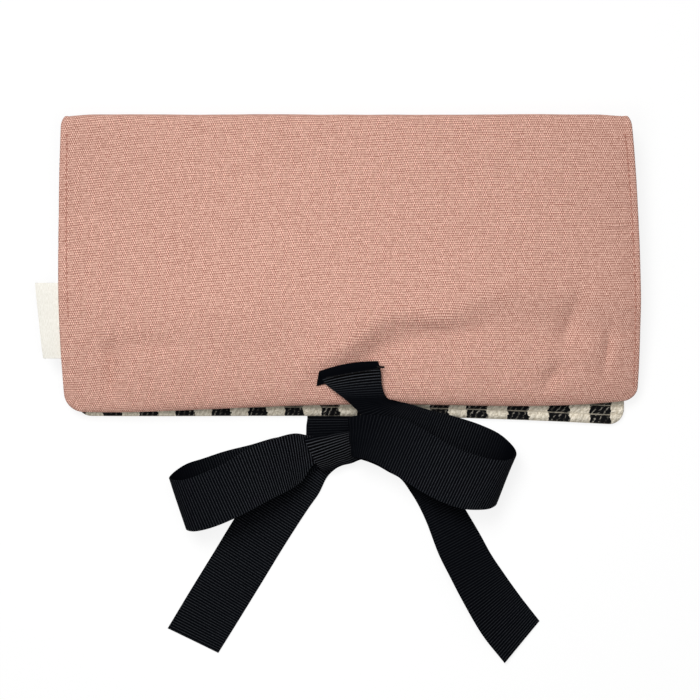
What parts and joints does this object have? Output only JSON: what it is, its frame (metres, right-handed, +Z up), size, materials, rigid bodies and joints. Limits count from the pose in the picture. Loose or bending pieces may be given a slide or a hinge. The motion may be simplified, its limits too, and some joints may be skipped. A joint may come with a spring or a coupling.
{
  "type": "jewelry pouch",
  "caption": "Soft folding jewelry pouch, shown closed and tied: padded canvas panels joined by a spine, striped lining, inner pockets, side label and ribbon ties in a bow.",
  "frame": {"origin": "on the underside of the closed pouch, which lies on its back, at the middle of the fold's length", "axes": "+X along the fold, to the right of a reader who faces the bow; +Y from the bow to the fold; +Z up out of the flap"},
  "size_m": [0.2763, 0.2526, 0.024],
  "materials": {
    "canvas": "woven cotton canvas",
    "batting": "soft wadding",
    "lining": "coarse striped weave",
    "label": "woven tape",
    "ribbon": "ribbed grosgrain",
    "zip_tape": "woven tape",
    "zip_teeth": "moulded",
    "zip_metal": "polished"
  },
  "bodies": {
    "back": {"back_canvas": "canvas", "back_batting": "batting", "back_lining": "lining", "slip_pocket": "lining", "zip_pocket_panel": "lining", "zip_pocket_header": "lining", "zip_tape_front": "zip_tape", "zip_tape_rear": "zip_tape", "zip_teeth_front": "zip_teeth", "zip_teeth_rear": "zip_teeth", "zip_stop_closed": "zip_metal", "zip_stop_open": "zip_metal", "back_tie": "ribbon"},
    "spine": {"spine_canvas": "canvas", "spine_batting": "batting", "spine_lining": "lining"},
    "flap": {"flap_canvas": "canvas", "flap_batting": "batting", "flap_lining": "lining", "side_label": "label", "flap_tie": "ribbon"},
    "slider": {"zip_slider": "zip_metal"},
    "pull": {"zip_pull": "zip_metal"}
  },
  "joints": [
    {"name": "spine_fold", "type": "hinge", "parent": "back", "child": "spine", "pos_m": [0, 0.0665, 0], "axis": [-1, 0, 0], "range_deg": [0, 90]},
    {"name": "flap_fold", "type": "hinge", "parent": "spine", "child": "flap", "pos_m": [0, 0.0665, 0.024], "axis": [-1, 0, 0], "range_deg": [0, 90]},
    {"name": "zip_slide", "type": "slide", "parent": "back", "child": "slider", "axis": [-1, 0, 0], "range_m": [0, 0.188]},
    {"name": "pull_swing", "type": "hinge", "parent": "slider", "child": "pull", "pos_m": [0.0942, 0.04, 0.00902], "axis": [0, -1, 0], "range_deg": [0, 180]}
  ]
}
